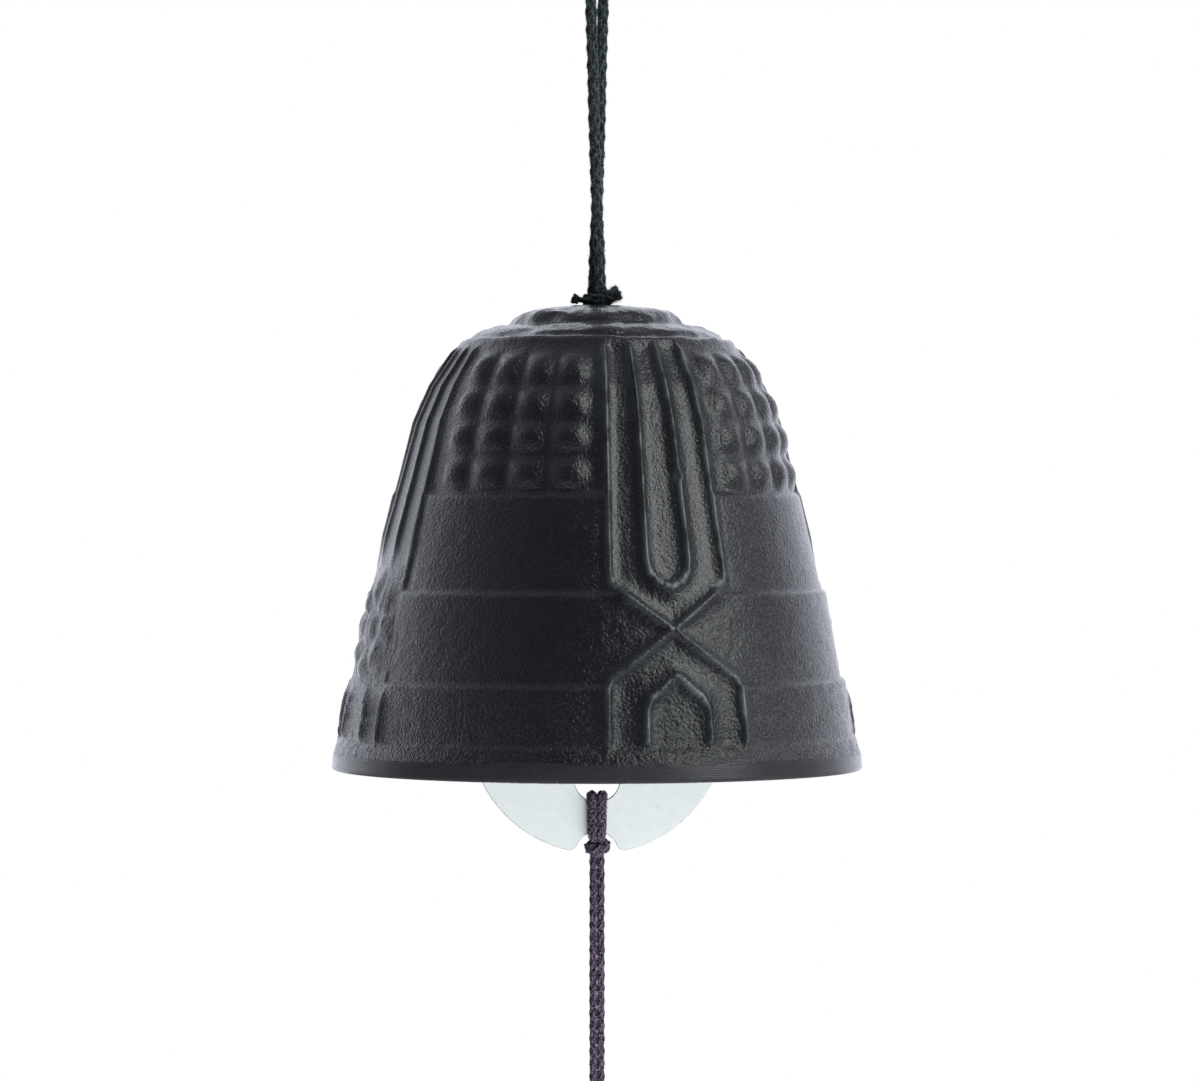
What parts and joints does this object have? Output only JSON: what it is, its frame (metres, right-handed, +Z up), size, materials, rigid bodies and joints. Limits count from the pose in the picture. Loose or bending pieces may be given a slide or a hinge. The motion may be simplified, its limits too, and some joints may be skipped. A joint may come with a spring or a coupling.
{
  "type": "wind_bell",
  "caption": "Black cast iron wind bell in the shape of a temple bell, with strap bands and bosses, on a doubled black cord, with a flat clapper plate and a blank paper strip",
  "frame": {"origin": "the point on the underside of the hanging loop that bears on a hook, on the bell's axis", "axes": "+Z is up along the bell's axis; the clapper plate and the strip lie in the XZ plane and face -Y; +X completes a right-handed set"},
  "size_m": [0.067, 0.067, 0.2648],
  "materials": {
    "black_iron": "grainy",
    "black_cord": "matte",
    "plum_cord": "matte",
    "pale_metal": "satin",
    "strip_paper": "matte"
  },
  "bodies": {
    "hanger": {"hanging_cord": "black_cord"},
    "bell": {"bell_casting": "black_iron", "crown_knot": "black_cord", "stop_knot": "black_cord"},
    "clapper_line": {"clapper_cord": "plum_cord"},
    "clapper": {"clapper_plate": "pale_metal", "upper_wrap": "plum_cord", "upper_hitch": "plum_cord", "lower_wrap": "plum_cord", "lower_hitch": "plum_cord"},
    "strip_line": {"strip_cord": "plum_cord"},
    "strip": {"strip_knot": "plum_cord", "strip_loop": "plum_cord", "wind_strip": "strip_paper"}
  },
  "joints": [
    {"name": "bell_swing", "type": "hinge", "parent": "hanger", "child": "bell", "pos_m": [0, 0, -0.0504], "axis": [0, 1, 0], "range_deg": [-15, 15]},
    {"name": "clapper_swing", "type": "hinge", "parent": "bell", "child": "clapper_line", "pos_m": [0, 0, -0.055], "axis": [0, 1, 0], "range_deg": [-13.5, 13.5]},
    {"name": "clapper_tilt", "type": "hinge", "parent": "clapper_line", "child": "clapper", "pos_m": [0, 0, -0.08762], "axis": [1, 0, 0], "range_deg": [-20, 20]},
    {"name": "strip_swing", "type": "hinge", "parent": "clapper", "child": "strip_line", "pos_m": [0, 0, -0.11918], "axis": [1, 0, 0], "range_deg": [-30, 30]},
    {"name": "strip_twist", "type": "hinge", "parent": "strip_line", "child": "strip", "pos_m": [0, 0, -0.15165], "axis": [0, 0, 1], "range_deg": [-180, 180]}
  ]
}
